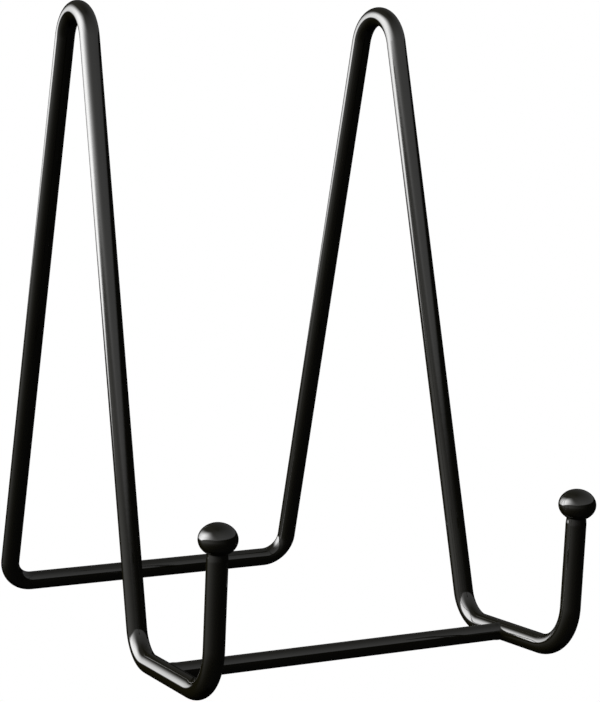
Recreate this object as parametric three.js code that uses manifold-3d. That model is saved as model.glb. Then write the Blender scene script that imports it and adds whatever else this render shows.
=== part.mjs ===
// Wire stand for a photo album: one bent steel rod, a thinner cross bar welded between its feet,
// and a ball end pressed on each of its two tips.
// Millimetres. +Z is up, +X is the viewer's right and -Y is the front, where the hooks are.
// The origin is on the table, under the middle of the stand's box.
import * as THREE from "three";
import { mergeVertices } from "three/addons/utils/BufferGeometryUtils.js";
import Module from "manifold-3d";

// --- Rods -----------------------------------------------------------------------------------
const WIRE_DIAMETER = 5.2; // the bent rod, over its coating
const BAR_DIAMETER = 4.4; // the front cross bar, over its coating
const CLEARANCE = 0.3; // left open between two separate pieces

// --- Bent rod: its corners are where the centrelines of two straight runs would meet ---------
const STAND_WIDTH = 95.5; // between the two knees, the corners where the feet meet the front legs
const TOE_SPLAY = 1.5; // each toe stands this much further out than its knee
const APEX_INSET = 3.25; // each apex and rear corner stands this much further in than its knee
const FOOT_LENGTH = 45; // knee to toe
const BASE_LENGTH = 100.5; // knee to rear bar, measured along the table
const APEX_HEIGHT = 188; // apex corner above the feet; the bend rounds it off lower down
const APEX_SETBACK = 42; // apex corner behind the knee
const HOOK_HEIGHT = 38; // middle of the ball above the foot
const HOOK_LEAN = 3.5; // middle of the ball in front of the toe

// Bend radii, on the centreline
const TOE_RADIUS = 13;
const KNEE_RADIUS = 9;
const APEX_RADIUS = 9.5;
const REAR_RADIUS = 7;

// --- Cross bar --------------------------------------------------------------------------------
const BAR_SETBACK = 17; // in front of the knees

// --- Ball ends: flattened balls with a blind socket for the tip of the rod --------------------
const BALL_DIAMETER = 9.4; // across the hook
const BALL_HEIGHT = 7.8; // along the hook
const SOCKET_PAST_MIDDLE = 0.5; // how far the socket runs past the middle of the ball

// --- Facets -----------------------------------------------------------------------------------
const ROD_SIDES = 16;
const BEND_STEP = Math.PI / 16; // largest turn between two sections of a bend
const BALL_SIDES = 32;
const BALL_ROWS = 12; // bands of facets from the mouth of the socket to the crown

const COAT_COLOUR = 0x0b0b0c;
const COAT_ROUGHNESS = 0.22;

const UP = new THREE.Vector3(0, 0, 1);

const wasm = await Module();
wasm.setup();

/** A regular polygon drawn round a circle, with a flat square to each axis. */
function rodSection(diameter, sides) {
  const halfFacet = Math.PI / sides;
  const cornerRadius = diameter / 2 / Math.cos(halfFacet);
  const corners = [];
  for (let i = 0; i < sides; i++) {
    const angle = (2 * i + 1) * halfFacet;
    corners.push(new THREE.Vector2(Math.cos(angle), Math.sin(angle)).multiplyScalar(cornerRadius));
  }
  return new THREE.Shape(corners);
}

/** The centreline of a bent rod: straight runs between corners, with a circular bend in each. */
class BentRod extends THREE.Curve {
  constructor(corners, radii, sides) {
    super();
    this.rings = []; // where a section stands, which way the rod runs there, and its bend
    const last = corners.length - 1;
    const run = (i) => corners[i + 1].clone().sub(corners[i]).normalize();
    this.addRing(corners[0], run(0));
    for (let i = 1; i < last; i++) {
      this.addBend(i, corners[i], run(i - 1), run(i), radii[i - 1]);
    }
    this.addRing(corners[last], run(last - 1));
    this.frames = this.turnSections((2 * Math.PI) / sides);
  }

  /** The bends are numbered from 1, and a section outside them has bend 0. */
  addRing(point, tangent, bend = 0) {
    this.rings.push({ point, tangent, bend });
  }

  /** Sections round one corner, from the end of one run to the start of the next. */
  addBend(bend, corner, before, after, radius) {
    const turn = before.angleTo(after);
    const axis = before.clone().cross(after).normalize();
    const start = corner.clone().addScaledVector(before, -radius * Math.tan(turn / 2));
    const centre = start.clone().addScaledVector(axis.clone().cross(before), radius);
    const steps = Math.ceil(turn / BEND_STEP);
    for (let k = 0; k <= steps; k++) {
      const angle = (turn * k) / steps;
      const point = start.clone().sub(centre).applyAxisAngle(axis, angle).add(centre);
      this.addRing(point, before.clone().applyAxisAngle(axis, angle), bend);
    }
  }

  /**
   * Carries the section along the rod without twist, then turns it in each bend by less than half
   * a facet, so that one facet of the next level run lies flat on the table.
   */
  turnSections(facetAngle) {
    const across = (tangent) => UP.clone().addScaledVector(tangent, -UP.dot(tangent)).normalize();
    const tangents = this.rings.map(({ tangent }) => tangent);
    const normals = [across(tangents[0])];
    for (let i = 1; i < tangents.length; i++) {
      const carry = new THREE.Quaternion().setFromUnitVectors(tangents[i - 1], tangents[i]);
      normals.push(normals[i - 1].clone().applyQuaternion(carry));
    }
    let settled = 0; // twist given so far
    let start = 0;
    while (start < this.rings.length) {
      let end = start;
      while (this.rings[end + 1] && this.rings[end + 1].bend === this.rings[start].bend) end++;
      const tangent = tangents[end];
      const level = across(tangent);
      const carried = normals[end].clone().applyAxisAngle(tangent, settled);
      const off = Math.atan2(tangent.dot(carried.clone().cross(level)), carried.dot(level));
      const twist = off - facetAngle * Math.round(off / facetAngle);
      for (let i = start; i <= end; i++) {
        const share = end > start ? (i - start) / (end - start) : 0;
        normals[i].applyAxisAngle(tangents[i], settled + twist * share);
      }
      settled += end > start ? twist : 0;
      start = end + 1;
    }
    const binormals = tangents.map((tangent, i) => tangent.clone().cross(normals[i]));
    return { tangents, normals, binormals };
  }

  getSpacedPoints() {
    return this.rings.map(({ point }) => point);
  }

  computeFrenetFrames() {
    return this.frames;
  }
}

/** A solid rod along the given corners, with a bend radius for each corner between the ends. */
function rodGeometry(corners, radii, diameter) {
  const extrudePath = new BentRod(corners, radii, ROD_SIDES);
  const steps = extrudePath.rings.length - 1;
  return new THREE.ExtrudeGeometry(rodSection(diameter, ROD_SIDES), { extrudePath, steps });
}

function toSolid(geometry) {
  const bare = new THREE.BufferGeometry();
  const source = geometry.index ? geometry.toNonIndexed() : geometry;
  bare.setAttribute("position", source.getAttribute("position"));
  const merged = mergeVertices(bare, 1e-4);
  const vertProperties = merged.attributes.position.array;
  const triVerts = new Uint32Array(merged.index.array);
  return new wasm.Manifold(new wasm.Mesh({ numProp: 3, vertProperties, triVerts }));
}

function toGeometry(solid) {
  const { vertProperties, triVerts } = solid.getMesh();
  const geometry = new THREE.BufferGeometry();
  geometry.setAttribute("position", new THREE.BufferAttribute(vertProperties, 3));
  geometry.setIndex(new THREE.BufferAttribute(triVerts, 1));
  return geometry;
}

function piece(name, geometry) {
  const material = new THREE.MeshStandardMaterial({
    color: COAT_COLOUR,
    roughness: COAT_ROUGHNESS,
    metalness: 0,
  });
  const mesh = new THREE.Mesh(geometry, material);
  mesh.name = name;
  return mesh;
}

// --- Corners of one side, -1 for the left and 1 for the right; the knees are at y = 0 ----------
const side = (sign) => {
  const half = STAND_WIDTH / 2;
  const toe = new THREE.Vector3(sign * (half + TOE_SPLAY), -FOOT_LENGTH, 0);
  return {
    tip: toe.clone().add(new THREE.Vector3(0, -HOOK_LEAN, HOOK_HEIGHT)),
    toe,
    knee: new THREE.Vector3(sign * half, 0, 0),
    apex: new THREE.Vector3(sign * (half - APEX_INSET), APEX_SETBACK, APEX_HEIGHT),
    rear: new THREE.Vector3(sign * (half - APEX_INSET), BASE_LENGTH, 0),
  };
};
const left = side(-1);
const right = side(1);
const hookDirection = (s) => s.tip.clone().sub(s.toe).normalize();

/** The bent rod, from the tip of one hook round the back to the tip of the other. */
function frameWire() {
  const rodEnd = (s) => s.tip.clone().addScaledVector(hookDirection(s), SOCKET_PAST_MIDDLE - CLEARANCE);
  const corners = [
    rodEnd(left), left.toe, left.knee, left.apex, left.rear,
    right.rear, right.apex, right.knee, right.toe, rodEnd(right),
  ];
  const bends = [TOE_RADIUS, KNEE_RADIUS, APEX_RADIUS, REAR_RADIUS];
  return piece("frame_wire", rodGeometry(corners, [...bends, ...bends.toReversed()], WIRE_DIAMETER));
}

/** The cross bar, with both ends coped to the round of the feet that they are welded to. */
function frontCrossBar() {
  const onFoot = (s) => s.knee.clone().lerp(s.toe, BAR_SETBACK / FOOT_LENGTH);
  let bar = toSolid(rodGeometry([onFoot(left), onFoot(right)], [], BAR_DIAMETER));
  for (const s of [left, right]) {
    const foot = rodGeometry([s.knee, s.toe], [], WIRE_DIAMETER + 2 * CLEARANCE);
    bar = bar.subtract(toSolid(foot));
  }
  return piece("front_cross_bar", toGeometry(bar));
}

/** A flattened ball, its axis along the hook, socketed over the tip of the rod. */
function ballEnd(name, s) {
  const socketRadius = WIRE_DIAMETER / 2 / Math.cos(Math.PI / ROD_SIDES) + CLEARANCE;
  const radius = BALL_DIAMETER / 2;
  const mouthAngle = -Math.acos(socketRadius / radius);
  const profile = [
    new THREE.Vector2(0, SOCKET_PAST_MIDDLE),
    new THREE.Vector2(socketRadius, SOCKET_PAST_MIDDLE),
  ];
  for (let i = 0; i < BALL_ROWS; i++) {
    const angle = mouthAngle + ((Math.PI / 2 - mouthAngle) * i) / BALL_ROWS;
    profile.push(new THREE.Vector2(radius * Math.cos(angle), (BALL_HEIGHT / 2) * Math.sin(angle)));
  }
  profile.push(new THREE.Vector2(0, BALL_HEIGHT / 2));
  const ball = piece(name, new THREE.LatheGeometry(profile, BALL_SIDES));
  ball.quaternion.setFromUnitVectors(new THREE.Vector3(0, 1, 0), hookDirection(s));
  ball.position.copy(s.tip);
  return ball;
}

const stand = new THREE.Group();
stand.add(frameWire(), frontCrossBar());
stand.add(ballEnd("ball_end_left", left), ballEnd("ball_end_right", right));

// Stand it on the table with the middle of its box over the origin.
const box = new THREE.Box3().setFromObject(stand, true);
stand.position.set(0, -(box.min.y + box.max.y) / 2, -box.min.z);

export default stand;
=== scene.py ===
"""Looks of a wire stand for a photo album: one bent steel rod, a thinner cross bar and two ball ends,
all under a smooth glossy black coating. Metres. +Z is up and -Y is the front, where the hooks are."""

import math

import bpy
from mathutils import Matrix, Quaternion, Vector


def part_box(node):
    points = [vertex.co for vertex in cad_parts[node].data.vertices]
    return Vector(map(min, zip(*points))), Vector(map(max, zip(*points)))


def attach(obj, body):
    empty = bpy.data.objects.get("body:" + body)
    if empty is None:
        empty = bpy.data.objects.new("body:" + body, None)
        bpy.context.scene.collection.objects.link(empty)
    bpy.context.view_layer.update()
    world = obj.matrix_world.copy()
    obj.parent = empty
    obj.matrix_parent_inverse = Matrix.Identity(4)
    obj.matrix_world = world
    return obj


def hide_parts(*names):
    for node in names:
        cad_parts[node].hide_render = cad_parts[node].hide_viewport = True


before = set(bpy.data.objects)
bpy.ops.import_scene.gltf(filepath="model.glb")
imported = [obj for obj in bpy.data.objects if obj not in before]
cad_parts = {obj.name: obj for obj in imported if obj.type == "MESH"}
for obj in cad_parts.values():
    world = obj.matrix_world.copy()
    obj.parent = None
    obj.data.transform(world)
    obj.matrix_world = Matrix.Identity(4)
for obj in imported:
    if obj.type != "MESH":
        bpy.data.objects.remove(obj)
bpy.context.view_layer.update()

MM = 0.001

# --- Sizes of the CAD model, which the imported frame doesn't give one by one -----------------------
STAND_WIDTH = 95.5 * MM  # between the two knees, the corners where the feet meet the front legs
TOE_SPLAY = 1.5 * MM  # each toe stands this much further out than its knee
APEX_INSET = 3.25 * MM  # each apex and rear corner stands this much further in than its knee
FOOT_LENGTH = 45 * MM  # knee to toe
BASE_LENGTH = 100.5 * MM  # knee to rear bar, along the table
APEX_HEIGHT = 188 * MM  # apex corner above the feet; the bend rounds it off lower down
APEX_SETBACK = 42 * MM  # apex corner behind the knee
HOOK_HEIGHT = 38 * MM  # middle of the ball above the foot
HOOK_LEAN = 3.5 * MM  # middle of the ball in front of the toe
TOE_RADIUS = 13 * MM
KNEE_RADIUS = 9 * MM
APEX_RADIUS = 9.5 * MM
REAR_RADIUS = 7 * MM
BAR_SETBACK = 17 * MM  # cross bar in front of the knees
WIRE_DIAMETER = 5.2 * MM
BAR_DIAMETER = 4.4 * MM
BALL_DIAMETER = 9.4 * MM  # across the hook
BALL_HEIGHT = 7.8 * MM  # along the hook

# --- Smooth surfaces ------------------------------------------------------------------------------
SKIN = 0.012 * MM  # they stay this far inside the CAD sizes
NECK_START = BALL_HEIGHT * 0.42  # from the middle of a ball to where the rod comes out of it
NECK_HEIGHT = 1.7 * MM  # just under a ball the rod is thinner over this length ...
NECK_WAIST = 0.13 * MM  # ... by this much all round at the ball
WELD_FLARE = 0.1 * MM  # build-up of coating all round the cross bar, in the seam with a foot
WELD_START = 0.3 * MM  # the build-up starts to fade this far inside the foot's surface ...
WELD_LENGTH = 1.1 * MM  # ... and is gone over this length

ROD_SIDES = 64
BEND_STEP = math.radians(2.5)  # largest turn between two sections of a bend
RUN_STEP = 4 * MM  # largest gap between two sections of a straight run
TIP_LENGTH = 6 * MM  # the rod's narrowing under a ball falls in this length of each end ...
TIP_STEP = 0.25 * MM  # ... and has its sections closer together
BAR_SECTIONS = (0, 1.2, 1.8, 2.0, 2.2, 2.4, 2.6, 2.8, 3.0, 3.2, 3.6, 4.2, 6)  # mm from each end
BALL_SIDES = 72
BALL_ROWS = 40

# --- Coating --------------------------------------------------------------------------------------
COAT_COLOUR = (0.0028, 0.0025, 0.0010, 1)  # nearly black, a touch warm
COAT_IOR = 1.5
GLOSS_SCALE = 420  # patches of uneven gloss in a metre
GLOSS_DETAIL = 3
GLOSS_NOISE = (0.3, 0.7)  # the noise between these values becomes ...
GLOSS_ROUGHNESS = (0.05, 0.09)  # ... a roughness between these
PEEL_SCALE = 900  # bumps of the orange peel in a metre
PEEL_DETAIL = 2
PEEL_STRENGTH = 0.05
PEEL_DEPTH = 0.05 * MM

# --- Camera ---------------------------------------------------------------------------------------
VIEW_AZIMUTH = -27.8  # degrees, 0 looks along +Y
VIEW_ELEVATION = 6.0
VIEW_DISTANCE = 601.1 * MM
VIEW_PIVOT = 92.6 * MM  # height of a point over the middle of the stand
VIEW_ASIDE = 10.6 * MM  # the middle of the picture lies this far to the right of that point ...
VIEW_BELOW = 18.4 * MM  # ... and this far below it
SENSOR = 36  # mm, for the long side of the picture
LENS = 116.682  # focal length in mm

# --- Studio ---------------------------------------------------------------------------------------
# Headings are in degrees. Heights are sines of the elevation. Light 1 is as bright as the backdrop.
# Each edge is a pair: where the light starts to change, and where the change is complete.
HORIZON_HEIGHT = 0.185
HORIZON_TILT = 0.10  # the horizon stands this much higher at its highest heading
HORIZON_HEADING = 35
HORIZON_EDGE = (-0.02, 0.03)
ROOM_HEADING = -5  # where the room is brightest
ROOM_LIGHT = 1.09
ROOM_DIMMING = 0.44  # how fast it dims overhead
CEILING_LIGHT = 0.148
TABLE_LIGHT = 0.03  # at the front
TABLE_DARKEST = 0.002
MIRROR_HEADING = -105  # where the table mirrors most light
MIRROR_LIGHT = 0.8
MIRROR_NARROWING = 1.9  # how fast the mirrored light dims sideways
MIRROR_DEPTH = 0.18  # below this depth it dims ...
MIRROR_DIMMING = 6  # ... this fast
MIRROR_END_HEADING = -60  # it ends on the far side from this heading
MIRROR_END_EDGE = (-0.1, 0.5)
BOX_HEADING = -117  # where the softbox is brightest
BOX_LIGHT = 15.5
BOX_NARROWING = 4.85  # how fast it dims sideways
BOX_BACK_EDGE = (0.05, 0.25)
BOX_TOP = 0.5  # height of its top at the left, lower towards both sides
BOX_TOP_EDGE = (0, 0.42)
BOX_BOTTOM = -0.19  # height of its bottom ...
BOX_BOTTOM_SLANT = 0.45  # ... which stands this much higher at its highest heading ...
BOX_BOTTOM_HEADING = -60
BOX_LOWEST = -0.05  # ... and nowhere lower than this
BOX_BOTTOM_EDGE = (-0.05, 0.04)
LEFT_HEADING = -90

FLOOR_SIZE = 4.0
FLOOR_DROP = 0.1 * MM  # kept clear of the feet


def corners_of_side(sign):
    """Corners of the rod's centreline on one side, -1 for the left and 1 for the right."""
    rear_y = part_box("frame_wire")[1].y - WIRE_DIAMETER / 2
    knee_y = rear_y - BASE_LENGTH
    half = STAND_WIDTH / 2
    z = WIRE_DIAMETER / 2
    toe = Vector((sign * (half + TOE_SPLAY), knee_y - FOOT_LENGTH, z))
    return {
        "tip": toe + Vector((0, -HOOK_LEAN, HOOK_HEIGHT)),
        "toe": toe,
        "knee": Vector((sign * half, knee_y, z)),
        "apex": Vector((sign * (half - APEX_INSET), knee_y + APEX_SETBACK, z + APEX_HEIGHT)),
        "rear": Vector((sign * (half - APEX_INSET), rear_y, z)),
    }


LEFT = corners_of_side(-1)
RIGHT = corners_of_side(1)


def bent_path(corners, radii):
    """Points and directions along straight runs joined by circular bends."""
    runs = [(b - a).normalized() for a, b in zip(corners, corners[1:])]
    stops = [(corners[0], runs[0]), (corners[0] + runs[0] * TIP_LENGTH, runs[0])]
    for corner, before, after, radius in zip(corners[1:], runs, runs[1:], radii):
        turn = before.angle(after)
        axis = before.cross(after).normalized()
        start = corner - before * radius * math.tan(turn / 2)
        centre = start + axis.cross(before) * radius
        steps = math.ceil(turn / BEND_STEP)
        for k in range(steps + 1):
            spin = Quaternion(axis, turn * k / steps)
            stops.append((centre + spin @ (start - centre), spin @ before))
    stops.append((corners[-1] - runs[-1] * TIP_LENGTH, runs[-1]))
    stops.append((corners[-1], runs[-1]))
    path = [stops[0]]
    for i, ((a, _), (b, way)) in enumerate(zip(stops, stops[1:])):
        step = TIP_STEP if i in (0, len(stops) - 2) else RUN_STEP
        pieces = max(1, math.ceil((b - a).length / step))
        for k in range(1, pieces):
            path.append((a.lerp(b, k / pieces), (b - a).normalized()))
        path.append((b, way))
    return path


def swept_mesh(name, path, radius_at):
    """A closed round rod along a path. radius_at takes the distance from the nearest end."""
    travelled = [0.0]
    for (a, _), (b, _) in zip(path, path[1:]):
        travelled.append(travelled[-1] + (b - a).length)
    across = path[0][1].orthogonal().normalized()
    vertices = []
    faces = []
    for i, (point, way) in enumerate(path):
        if i:
            across = path[i - 1][1].rotation_difference(way) @ across
        across = (across - way * across.dot(way)).normalized()
        up = way.cross(across)
        radius = radius_at(min(travelled[i], travelled[-1] - travelled[i]))
        for k in range(ROD_SIDES):
            angle = 2 * math.pi * k / ROD_SIDES
            vertices.append(point + (across * math.cos(angle) + up * math.sin(angle)) * radius)
        if i:
            low = (i - 1) * ROD_SIDES
            high = i * ROD_SIDES
            for k in range(ROD_SIDES):
                n = (k + 1) % ROD_SIDES
                faces.append((low + k, low + n, high + n, high + k))
    top = (len(path) - 1) * ROD_SIDES
    faces.append(tuple(range(ROD_SIDES - 1, -1, -1)))
    faces.append(tuple(range(top, top + ROD_SIDES)))
    mesh = bpy.data.meshes.new(name)
    mesh.from_pydata(vertices, [], faces)
    return mesh


def frame_wire():
    """The bent rod, from the tip of one hook round the back to the tip of the other."""
    names = ["tip", "toe", "knee", "apex", "rear"]
    bends = [TOE_RADIUS, KNEE_RADIUS, APEX_RADIUS, REAR_RADIUS]
    corners = [LEFT[n] for n in names] + [RIGHT[n] for n in reversed(names)]
    radius = WIRE_DIAMETER / 2 - SKIN

    def radius_at(from_tip):
        past_ball = from_tip - NECK_START
        waist = min(1.0, max(0.0, 1 - past_ball / NECK_HEIGHT))
        return radius - NECK_WAIST * waist * waist * (3 - 2 * waist)

    return swept_mesh("bent_rod", bent_path(corners, bends + bends[::-1]), radius_at)


def cross_bar():
    """The bar between the feet. Each end runs a little way into its foot and flares in the seam."""
    start, end = [s["knee"].lerp(s["toe"], BAR_SETBACK / FOOT_LENGTH) for s in (LEFT, RIGHT)]
    radius = BAR_DIAMETER / 2 - SKIN
    seam = WIRE_DIAMETER / 2

    def radius_at(from_end):
        past_seam = from_end - seam + WELD_START
        swell = min(1.0, max(0.0, 1 - past_seam / WELD_LENGTH))
        return radius + WELD_FLARE * swell**2

    way = (end - start).normalized()
    length = (end - start).length
    at = [s * MM for s in BAR_SECTIONS] + [length - s * MM for s in reversed(BAR_SECTIONS)]
    return swept_mesh("cross_bar", [(start + way * d, way) for d in at], radius_at)


def ball_end(name, side):
    """A flattened ball, its axis along the hook, closed underneath where the rod goes in."""
    radius = BALL_DIAMETER / 2 - SKIN
    half_height = BALL_HEIGHT / 2 - SKIN
    axis = (side["tip"] - side["toe"]).normalized()
    turn = Vector((0, 0, 1)).rotation_difference(axis).to_matrix().to_4x4()
    place = Matrix.Translation(side["tip"]) @ turn
    vertices = [place @ Vector((0, 0, -half_height))]
    faces = []
    for row in range(1, BALL_ROWS):
        angle = -math.pi / 2 + math.pi * row / BALL_ROWS
        level = radius * math.cos(angle)
        rise = half_height * math.sin(angle)
        for k in range(BALL_SIDES):
            spin = 2 * math.pi * k / BALL_SIDES
            vertices.append(place @ Vector((level * math.cos(spin), level * math.sin(spin), rise)))
    vertices.append(place @ Vector((0, 0, half_height)))
    crown = len(vertices) - 1
    top = crown - BALL_SIDES
    for k in range(BALL_SIDES):
        n = (k + 1) % BALL_SIDES
        faces.append((0, 1 + n, 1 + k))
        for row in range(BALL_ROWS - 2):
            low = 1 + row * BALL_SIDES
            high = low + BALL_SIDES
            faces.append((low + k, low + n, high + n, high + k))
        faces.append((top + k, top + n, crown))
    mesh = bpy.data.meshes.new(name)
    mesh.from_pydata(vertices, [], faces)
    return mesh


def black_coat(name, seed):
    """A smooth glossy black coating, with a faint orange peel and a slightly uneven gloss."""
    material = bpy.data.materials.new(name)
    material.use_nodes = True
    nodes = material.node_tree.nodes
    links = material.node_tree.links
    shader = nodes["Principled BSDF"]
    shader.inputs["Base Color"].default_value = COAT_COLOUR
    shader.inputs["IOR"].default_value = COAT_IOR
    where = nodes.new("ShaderNodeTexCoord")

    def noise(scale, detail):
        texture = nodes.new("ShaderNodeTexNoise")
        texture.noise_dimensions = "4D"
        texture.inputs["W"].default_value = seed
        texture.inputs["Scale"].default_value = scale
        texture.inputs["Detail"].default_value = detail
        links.new(where.outputs["Object"], texture.inputs["Vector"])
        return texture.outputs["Fac"]

    gloss = nodes.new("ShaderNodeMapRange")
    gloss.inputs["From Min"].default_value, gloss.inputs["From Max"].default_value = GLOSS_NOISE
    gloss.inputs["To Min"].default_value, gloss.inputs["To Max"].default_value = GLOSS_ROUGHNESS
    links.new(noise(GLOSS_SCALE, GLOSS_DETAIL), gloss.inputs["Value"])
    links.new(gloss.outputs["Result"], shader.inputs["Roughness"])

    peel = nodes.new("ShaderNodeBump")
    peel.inputs["Strength"].default_value = PEEL_STRENGTH
    peel.inputs["Distance"].default_value = PEEL_DEPTH
    links.new(noise(PEEL_SCALE, PEEL_DETAIL), peel.inputs["Height"])
    links.new(peel.outputs["Normal"], shader.inputs["Normal"])
    return material


def add_piece(mesh, node, material):
    """A smooth-shaded object of the mesh's name, shown in place of a CAD node."""
    mesh.polygons.foreach_set("use_smooth", [True] * len(mesh.polygons))
    mesh.materials.append(material)
    mesh.update()
    piece = bpy.data.objects.new(mesh.name, mesh)
    bpy.context.scene.collection.objects.link(piece)
    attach(piece, "root")
    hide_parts(node)


def add_camera():
    azimuth = math.radians(VIEW_AZIMUTH)
    elevation = math.radians(VIEW_ELEVATION)
    back = Vector((
        math.sin(azimuth) * math.cos(elevation),
        -math.cos(azimuth) * math.cos(elevation),
        math.sin(elevation),
    ))
    right = Vector((math.cos(azimuth), math.sin(azimuth), 0))
    up = back.cross(right)
    pivot = Vector((0, (LEFT["toe"].y + LEFT["rear"].y) / 2, VIEW_PIVOT))
    data = bpy.data.cameras.new("camera")
    data.lens = LENS
    data.sensor_width = SENSOR
    camera = bpy.data.objects.new("camera", data)
    bpy.context.scene.collection.objects.link(camera)
    camera.location = pivot + back * VIEW_DISTANCE + right * VIEW_ASIDE - up * VIEW_BELOW
    camera.rotation_mode = "QUATERNION"
    camera.rotation_quaternion = (-back).to_track_quat("-Z", "Y")
    bpy.context.scene.camera = camera


class Field:
    """A number for each direction, with its arithmetic done by the nodes of the world."""

    def __init__(self, tree, socket):
        self.tree = tree
        self.socket = socket

    def worked_out(self, operation, *values):
        node = self.tree.nodes.new("ShaderNodeMath")
        node.operation = operation
        for value, socket in zip(values, node.inputs):
            if isinstance(value, Field):
                self.tree.links.new(value.socket, socket)
            else:
                socket.default_value = value
        return Field(self.tree, node.outputs[0])

    def __add__(self, other):
        return self.worked_out("ADD", self, other)

    def __sub__(self, other):
        return self.worked_out("SUBTRACT", self, other)

    def __rsub__(self, other):
        return self.worked_out("SUBTRACT", other, self)

    def __mul__(self, other):
        return self.worked_out("MULTIPLY", self, other)

    def __pow__(self, other):
        return self.worked_out("POWER", self, other)

    def exp(self):
        return self.worked_out("EXPONENT", self)

    def at_most(self, other):
        return self.worked_out("MINIMUM", self, other)

    def at_least(self, other):
        return self.worked_out("MAXIMUM", self, other)

    def rise(self, low, high):
        """0 below low, 1 above high and smooth between them."""
        node = self.tree.nodes.new("ShaderNodeMapRange")
        node.interpolation_type = "SMOOTHSTEP"
        node.inputs["From Min"].default_value = low
        node.inputs["From Max"].default_value = high
        self.tree.links.new(self.socket, node.inputs["Value"])
        return Field(self.tree, node.outputs["Result"])


def vector_node(tree, operation, vector, other=None):
    node = tree.nodes.new("ShaderNodeVectorMath")
    node.operation = operation
    tree.links.new(vector, node.inputs[0])
    if other is not None:
        node.inputs[1].default_value = other
    return node


def heading(azimuth):
    """Level unit vector. Azimuth 0 points to the front, -90 to the left and 90 to the right."""
    a = math.radians(azimuth)
    return Vector((math.sin(a), -math.cos(a), 0))


def studio_light(tree):
    """Brightness of the studio in each direction: a grey room, a dark table and one softbox."""
    where = tree.nodes.new("ShaderNodeTexCoord").outputs["Generated"]
    flattened = vector_node(tree, "MULTIPLY", where, (1, 1, 0)).outputs["Vector"]
    level = vector_node(tree, "NORMALIZE", flattened).outputs["Vector"]

    def along(direction, unit):
        return Field(tree, vector_node(tree, "DOT_PRODUCT", direction, unit).outputs["Value"])

    def toward(azimuth):
        """1 at this heading and -1 opposite."""
        return along(level, heading(azimuth))

    height = along(where, (0, 0, 1))

    # Horizon: it stands higher in front than behind.
    horizon = toward(HORIZON_HEADING) * HORIZON_TILT + HORIZON_HEIGHT
    above = (height - horizon).rise(*HORIZON_EDGE)

    # Grey of the room: brightest low down at the front, dimming overhead and behind.
    # front is 1 there and 0 opposite.
    front = toward(ROOM_HEADING) * 0.5 + 0.5
    room = front * (1 - height) ** ROOM_DIMMING * ROOM_LIGHT + height.at_least(0) * CEILING_LIGHT

    # The table mirrors a little of the room, and the most of it under the softbox.
    sideways = (toward(MIRROR_HEADING) - 1) * MIRROR_NARROWING
    down = (height + MIRROR_DEPTH).at_most(0) * MIRROR_DIMMING
    mirrored = (sideways + down).exp() * MIRROR_LIGHT
    mirrored = mirrored * toward(MIRROR_END_HEADING).rise(*MIRROR_END_EDGE)
    table = front * TABLE_LIGHT + TABLE_DARKEST + mirrored

    # Softbox at the left: hard at its back and bottom edges, soft at its front and top.
    box = ((toward(BOX_HEADING) - 1) * BOX_NARROWING).exp() * BOX_LIGHT
    box = box * toward(LEFT_HEADING).rise(*BOX_BACK_EDGE)
    top = toward(LEFT_HEADING) * BOX_TOP
    box = box * (1 - (height - top).rise(*BOX_TOP_EDGE))
    bottom = (toward(BOX_BOTTOM_HEADING) * BOX_BOTTOM_SLANT + BOX_BOTTOM).at_least(BOX_LOWEST)
    box = box * (height - bottom).rise(*BOX_BOTTOM_EDGE)

    return above * room + (1 - above) * table + box


def add_studio():
    """The pieces mirror the studio, while the camera sees plain white behind them."""
    world = bpy.data.worlds.new("studio")
    bpy.context.scene.world = world
    world.use_nodes = True
    nodes = world.node_tree.nodes
    links = world.node_tree.links
    mirrored = nodes["Background"]
    links.new(studio_light(world.node_tree).socket, mirrored.inputs["Color"])
    plain = nodes.new("ShaderNodeBackground")
    plain.inputs["Color"].default_value = (1, 1, 1, 1)
    path = nodes.new("ShaderNodeLightPath")
    mix = nodes.new("ShaderNodeMixShader")
    links.new(path.outputs["Is Camera Ray"], mix.inputs["Fac"])
    links.new(mirrored.outputs[0], mix.inputs[1])
    links.new(plain.outputs[0], mix.inputs[2])
    links.new(mix.outputs[0], nodes["World Output"].inputs["Surface"])


def add_floor():
    """A plain white floor, which the pieces don't mirror."""
    half = FLOOR_SIZE / 2
    corners = [(-half, -half, 0), (half, -half, 0), (half, half, 0), (-half, half, 0)]
    mesh = bpy.data.meshes.new("floor")
    mesh.from_pydata(corners, [], [(0, 1, 2, 3)])
    floor = bpy.data.objects.new("floor", mesh)
    bpy.context.scene.collection.objects.link(floor)
    floor.location.z = -FLOOR_DROP
    material = bpy.data.materials.new("floor")
    material.use_nodes = True
    nodes = material.node_tree.nodes
    nodes.remove(nodes["Principled BSDF"])
    glow = nodes.new("ShaderNodeEmission")
    glow.inputs["Color"].default_value = (1, 1, 1, 1)
    material.node_tree.links.new(glow.outputs[0], nodes["Material Output"].inputs["Surface"])
    mesh.materials.append(material)
    floor.visible_glossy = False
    floor.visible_diffuse = False


add_camera()
add_studio()
add_floor()
bpy.context.scene.view_settings.view_transform = "Standard"

add_piece(frame_wire(), "frame_wire", black_coat("rod_coat", 1.0))
add_piece(cross_bar(), "front_cross_bar", black_coat("bar_coat", 2.0))
add_piece(ball_end("left_ball", LEFT), "ball_end_left", black_coat("left_ball_coat", 3.0))
add_piece(ball_end("right_ball", RIGHT), "ball_end_right", black_coat("right_ball_coat", 4.0))
